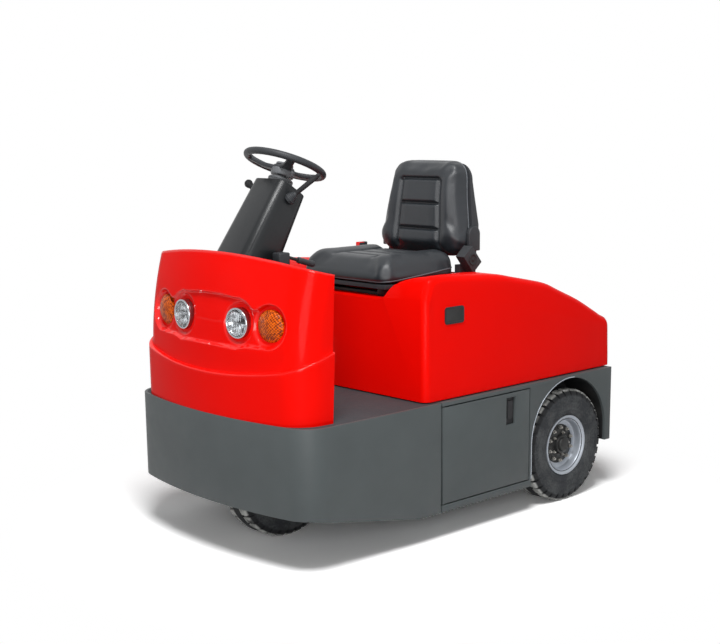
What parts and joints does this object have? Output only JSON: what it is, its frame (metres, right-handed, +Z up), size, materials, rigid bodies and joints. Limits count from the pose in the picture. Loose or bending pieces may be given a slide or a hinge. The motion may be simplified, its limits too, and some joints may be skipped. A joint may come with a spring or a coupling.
{
  "type": "electric tow tractor",
  "caption": "Three-wheel sit-on electric tow tractor: bowed bumper and lamp cowl, tilting hood with seat, battery doors, steered front wheel and tow coupler.",
  "frame": {"origin": "middle of the bounding box on the floor, under the tyres", "axes": "+Z up, front faces -Y, driver's left is +X"},
  "size_m": [1.02, 1.8, 1.4536],
  "materials": {
    "grey_paint": "satin",
    "black_paint": "satin",
    "battery_case": "matte",
    "bright_steel": "satin",
    "red_paint": "gloss",
    "black_plastic": "matte",
    "grey_plastic": "satin",
    "chrome": "polished",
    "clear_lens": "gloss",
    "amber_lens": "gloss",
    "red_plastic": "gloss",
    "black_rubber": "matte",
    "tyre_rubber": "matte",
    "rim_paint": "satin",
    "hub_iron": "satin",
    "black_vinyl": "satin",
    "red_lens": "gloss"
  },
  "bodies": {
    "chassis": {"front_skirt": "grey_paint", "foot_deck": "grey_paint", "main_frame": "grey_paint", "arch_liners": "black_paint", "battery": "battery_case", "drive_axle": "black_paint", "tow_coupler": "black_paint", "tow_pin": "bright_steel", "steering_bearing": "black_paint", "front_cowl": "red_paint", "dash_console": "black_plastic", "headlamp_bodies": "chrome", "headlamp_lenses": "clear_lens", "indicator_lenses": "amber_lens", "column_cover": "black_plastic", "column_collar": "grey_plastic", "column_levers": "black_plastic", "parking_brake": "black_plastic", "stop_button": "red_plastic", "key_switch": "bright_steel", "pedals": "black_rubber"},
    "steering_wheel": {"steering_wheel": "black_plastic", "horn_cap": "black_plastic"},
    "front_fork": {"front_fork": "black_paint"},
    "front_wheel": {"front_tyre": "tyre_rubber", "front_rim": "rim_paint"},
    "rear_wheel_left": {"rear_tyre_left": "tyre_rubber", "rear_rim_left": "rim_paint", "rear_hub_left": "hub_iron"},
    "rear_wheel_right": {"rear_tyre_right": "tyre_rubber", "rear_rim_right": "rim_paint", "rear_hub_right": "hub_iron"},
    "hood": {"hood": "red_paint", "hood_handles": "black_plastic", "seat_rails": "black_paint", "seat_shell": "black_plastic", "seat_cushion": "black_vinyl", "seat_backrest": "black_vinyl", "recliner_covers": "black_plastic", "belt_retractor": "black_plastic", "belt_buckle": "black_plastic", "tail_lamps": "red_lens"},
    "left_door": {"door_left": "grey_paint", "latch_left": "black_plastic"},
    "right_door": {"door_right": "grey_paint", "latch_right": "black_plastic"}
  },
  "joints": [
    {"name": "fork_steer", "type": "hinge", "parent": "chassis", "child": "front_fork", "pos_m": [0, -0.553, 0.5], "axis": [0, 0, 1], "range_deg": [-75, 75]},
    {"name": "steering_wheel_turn", "type": "hinge", "parent": "chassis", "child": "steering_wheel", "pos_m": [0, -0.495, 1.387], "axis": [0, 0.3746, 0.9272], "range_deg": [-450, 450]},
    {"name": "front_wheel_spin", "type": "hinge", "parent": "front_fork", "child": "front_wheel", "pos_m": [0, -0.553, 0.2325], "axis": [1, 0, 0], "continuous": true},
    {"name": "rear_wheel_left_spin", "type": "hinge", "parent": "chassis", "child": "rear_wheel_left", "pos_m": [0.437, 0.557, 0.2325], "axis": [1, 0, 0], "continuous": true},
    {"name": "rear_wheel_right_spin", "type": "hinge", "parent": "chassis", "child": "rear_wheel_right", "pos_m": [-0.437, 0.557, 0.2325], "axis": [1, 0, 0], "continuous": true},
    {"name": "hood_tilt", "type": "hinge", "parent": "chassis", "child": "hood", "pos_m": [0, 0.862, 0.543], "axis": [-1, 0, 0], "range_deg": [0, 60]},
    {"name": "left_door_swing", "type": "hinge", "parent": "chassis", "child": "left_door", "pos_m": [0.5, -0.18, 0.32], "axis": [0, 0, -1], "range_deg": [0, 90]},
    {"name": "right_door_swing", "type": "hinge", "parent": "chassis", "child": "right_door", "pos_m": [-0.5, -0.18, 0.32], "axis": [0, 0, 1], "range_deg": [0, 90]}
  ],
  "couplings": [
    {"joint": "steering_wheel_turn", "follows": "fork_steer", "ratio": 6}
  ]
}
